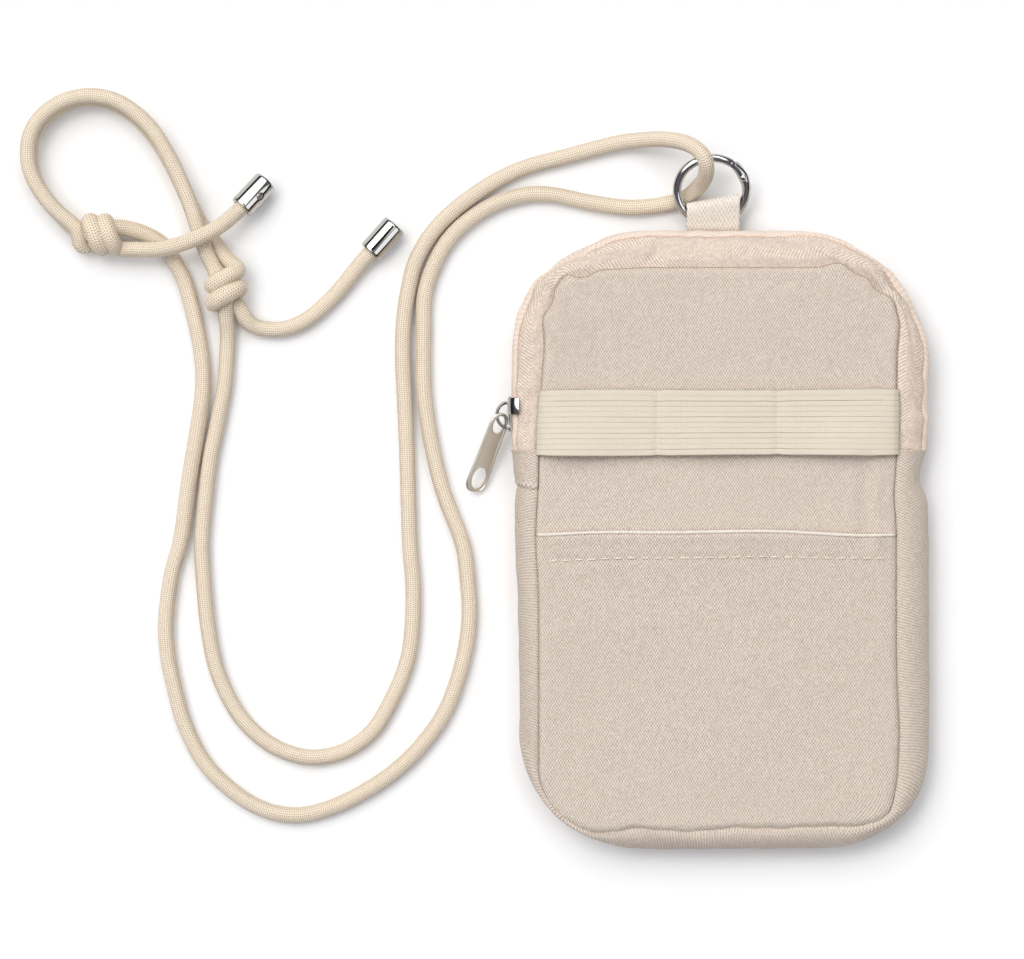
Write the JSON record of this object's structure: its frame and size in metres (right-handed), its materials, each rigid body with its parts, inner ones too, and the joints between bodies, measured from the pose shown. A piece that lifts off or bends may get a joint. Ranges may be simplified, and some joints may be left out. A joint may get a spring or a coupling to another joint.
{
  "type": "neck pouch wallet",
  "caption": "Flat zipped canvas neck pouch with a slip pocket, an elastic band and a spring-gate ring on a knotted, adjustable braided cord.",
  "frame": {"origin": "middle of the back panel's outer face, where the pouch lies", "axes": "+Y along the pouch towards the loop and ring, +Z out of the front, +X to the right seen from the front"},
  "size_m": [0.2901, 0.2445, 0.0211],
  "materials": {
    "canvas": "matte cotton canvas",
    "zip_tape": "matte herringbone tape",
    "zip_coil": "satin nylon",
    "elastic": "ribbed elastic",
    "loop_tape": "herringbone tape",
    "binding": "matte",
    "cord": "braided",
    "nickel": "nickel plated",
    "chrome": "polished",
    "steel": "plain"
  },
  "bodies": {
    "pouch": {"back_panel": "canvas", "front_panel_lower": "canvas", "pocket_panel": "canvas", "lower_gusset": "canvas", "zipper_tape_back": "zip_tape", "zipper_coil_back": "zip_coil", "zipper_stop_left": "nickel", "zipper_stop_right": "nickel", "binding_back": "binding", "binding_front_lower": "binding", "loop_tab": "loop_tape", "cord_main": "cord", "cord_loop_upper": "cord", "cord_loop_lower": "cord", "cord_tail_left": "cord", "cord_tail_right": "cord", "knot_left": "cord", "knot_right": "cord", "cord_end_cap_left": "nickel", "cord_end_cap_right": "nickel", "set_screw_left": "steel", "set_screw_right": "steel"},
    "flap": {"front_panel_upper": "canvas", "zipper_tape_front": "zip_tape", "zipper_coil_front": "zip_coil", "binding_front_upper": "binding", "elastic_band": "elastic"},
    "slider": {"zipper_slider": "nickel", "slider_bridge": "nickel"},
    "pull": {"pull_tab": "nickel"},
    "ring": {"ring_body": "chrome", "ring_rivet": "chrome", "gate_spring": "steel"},
    "gate": {"ring_gate": "chrome"}
  },
  "joints": [
    {"name": "flap_open", "type": "hinge", "parent": "pouch", "child": "flap", "pos_m": [0, 0.02625, 0.0176], "axis": [1, 0, 0], "range_deg": [0, 50]},
    {"name": "slider_travel", "type": "slide", "parent": "pouch", "child": "slider", "axis": [0, 1, 0], "range_m": [-0.003, 0.022]},
    {"name": "pull_swing", "type": "hinge", "parent": "slider", "child": "pull", "pos_m": [-0.07064, 0.03804, 0.00915], "axis": [-0.608, 0.794, 0], "range_deg": [0, 50]},
    {"name": "ring_turn", "type": "hinge", "parent": "pouch", "child": "ring", "pos_m": [-0.0031, 0.1123, 0.009], "axis": [0, -0.4226, 0.9063], "range_deg": [-20, 20]},
    {"name": "gate_open", "type": "hinge", "parent": "ring", "child": "gate", "pos_m": [0.00688, 0.11671, 0.01106], "axis": [0, -0.4226, 0.9063], "range_deg": [0, 8], "stiffness_Nm_per_rad": 0.01, "springref_deg": -11.46}
  ]
}
